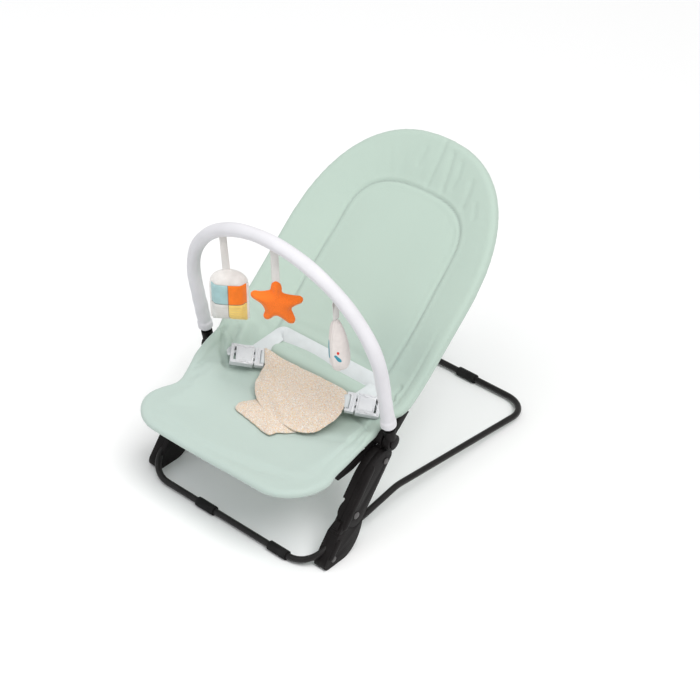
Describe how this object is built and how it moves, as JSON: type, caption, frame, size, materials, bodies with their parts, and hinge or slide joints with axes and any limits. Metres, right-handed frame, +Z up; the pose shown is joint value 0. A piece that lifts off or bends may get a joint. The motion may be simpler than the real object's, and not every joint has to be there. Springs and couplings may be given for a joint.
{
  "type": "bouncer seat",
  "caption": "Folding baby bouncer seat with a bent-tube base, sling seat and reclining back, waist harness and a padded toy bar.",
  "frame": {"origin": "middle of the footprint on the surface the seat stands on", "axes": "+X towards the right seen from the knees end, +Y from the knees to the head, +Z up"},
  "size_m": [0.47, 0.6781, 0.5475],
  "materials": {
    "frame_steel": "black satin powder coat on bent steel tube",
    "rubber": "matt black rubber sleeve",
    "black_plastic": "fine-grained matt black moulding",
    "fastener_steel": "dark zinc-plated rivet or screw",
    "mint_fabric": "pale mint green brushed polyester jersey over thin wadding",
    "bar_fabric": "off-white woven sleeve over foam",
    "webbing": "off-white narrow woven webbing",
    "buckle_plastic": "white semi-gloss moulding",
    "speckled_fabric": "cream cotton print with small orange, yellow and grey flecks",
    "toy_fabric": "soft cream fabric with sewn colour patches",
    "orange_plush": "orange short-pile plush"
  },
  "bodies": {
    "base": {"front_base_tube": "frame_steel", "rear_base_tube": "frame_steel", "front_sleeve_left": "rubber", "front_sleeve_right": "rubber", "rear_sleeve_left": "rubber", "rear_sleeve_right": "rubber", "foot_outer_left": "black_plastic", "foot_outer_right": "black_plastic", "foot_inner_left": "black_plastic", "foot_inner_right": "black_plastic", "foot_screw_left": "fastener_steel", "foot_screw_right": "fastener_steel", "fold_pin_left": "fastener_steel", "fold_pin_right": "fastener_steel"},
    "legs": {"leg_outer_left": "black_plastic", "leg_outer_right": "black_plastic", "leg_inner_left": "black_plastic", "leg_inner_right": "black_plastic", "leg_screw_left": "fastener_steel", "leg_screw_right": "fastener_steel", "hub_housing_left": "black_plastic", "hub_housing_right": "black_plastic", "hub_axle_left": "fastener_steel", "hub_axle_right": "fastener_steel"},
    "fold_catch_left": {"fold_catch_left": "black_plastic"},
    "fold_catch_right": {"fold_catch_right": "black_plastic"},
    "seat": {"seat_tube": "frame_steel", "seat_cover": "mint_fabric", "crotch_pad": "speckled_fabric", "seat_arm_left": "black_plastic", "seat_arm_right": "black_plastic", "buckle_socket_left": "buckle_plastic", "buckle_socket_right": "buckle_plastic"},
    "back": {"back_tube": "frame_steel", "back_cover": "mint_fabric", "back_bracket_left": "black_plastic", "back_bracket_right": "black_plastic", "waist_belt": "webbing"},
    "buckle_insert_left": {"buckle_insert_left": "buckle_plastic"},
    "buckle_insert_right": {"buckle_insert_right": "buckle_plastic"},
    "toy_bar": {"toy_bar_core": "frame_steel", "toy_bar_sleeve": "bar_fabric", "toy_bar_plug_left": "black_plastic", "toy_bar_plug_right": "black_plastic", "toy_bar_collar_left": "black_plastic", "toy_bar_collar_right": "black_plastic"},
    "recline_button_left": {"recline_button_left": "black_plastic"},
    "recline_button_right": {"recline_button_right": "black_plastic"},
    "house": {"house_strap": "webbing", "house_toy": "toy_fabric"},
    "star": {"star_strap": "webbing", "star_toy": "orange_plush"},
    "fish": {"fish_strap": "webbing", "fish_toy": "toy_fabric"}
  },
  "joints": [
    {"name": "leg_fold", "type": "hinge", "parent": "base", "child": "legs", "pos_m": [0, -0.19, 0.078], "axis": [-1, 0, 0], "range_deg": [0, 28]},
    {"name": "seat_tilt", "type": "hinge", "parent": "legs", "child": "seat", "pos_m": [0, -0.101, 0.189], "axis": [-1, 0, 0], "range_deg": [-28, 0]},
    {"name": "back_recline", "type": "hinge", "parent": "seat", "child": "back", "pos_m": [0, -0.101, 0.189], "axis": [-1, 0, 0], "range_deg": [0, 34]},
    {"name": "toy_bar_swing", "type": "hinge", "parent": "seat", "child": "toy_bar", "pos_m": [0, -0.101, 0.189], "axis": [1, 0, 0], "range_deg": [-15, 45]},
    {"name": "recline_button_left_press", "type": "slide", "parent": "legs", "child": "recline_button_left", "axis": [1, 0, 0], "range_m": [0, 0.0025], "stiffness_N_per_m": 300},
    {"name": "recline_button_right_press", "type": "slide", "parent": "legs", "child": "recline_button_right", "axis": [-1, 0, 0], "range_m": [0, 0.0025], "stiffness_N_per_m": 300},
    {"name": "fold_catch_left_slide", "type": "slide", "parent": "legs", "child": "fold_catch_left", "axis": [0, 0.6256, 0.7802], "range_m": [0, 0.004], "stiffness_N_per_m": 300},
    {"name": "fold_catch_right_slide", "type": "slide", "parent": "legs", "child": "fold_catch_right", "axis": [0, 0.6256, 0.7802], "range_m": [0, 0.004], "stiffness_N_per_m": 300},
    {"name": "buckle_insert_left_slide", "type": "slide", "parent": "seat", "child": "buckle_insert_left", "axis": [0.7295, 0.6568, -0.1908], "range_m": [0, 0.014]},
    {"name": "buckle_insert_right_slide", "type": "slide", "parent": "seat", "child": "buckle_insert_right", "axis": [-0.8434, -0.527, 0.1045], "range_m": [0, 0.014]},
    {"name": "house_swing", "type": "hinge", "parent": "toy_bar", "child": "house", "pos_m": [-0.119, -0.15651, 0.50383], "axis": [0.8669, -0.0866, 0.4908], "range_deg": [-40, 40]},
    {"name": "star_swing", "type": "hinge", "parent": "toy_bar", "child": "star", "pos_m": [0.013, -0.16189, 0.53433], "axis": [0.9986, 0.0092, -0.0522], "range_deg": [-40, 40]},
    {"name": "fish_swing", "type": "hinge", "parent": "toy_bar", "child": "fish", "pos_m": [0.151, -0.15263, 0.48182], "axis": [0.7657, 0.1117, -0.6335], "range_deg": [-40, 40]}
  ],
  "couplings": [
    {"joint": "seat_tilt", "follows": "leg_fold", "ratio": -1}
  ]
}
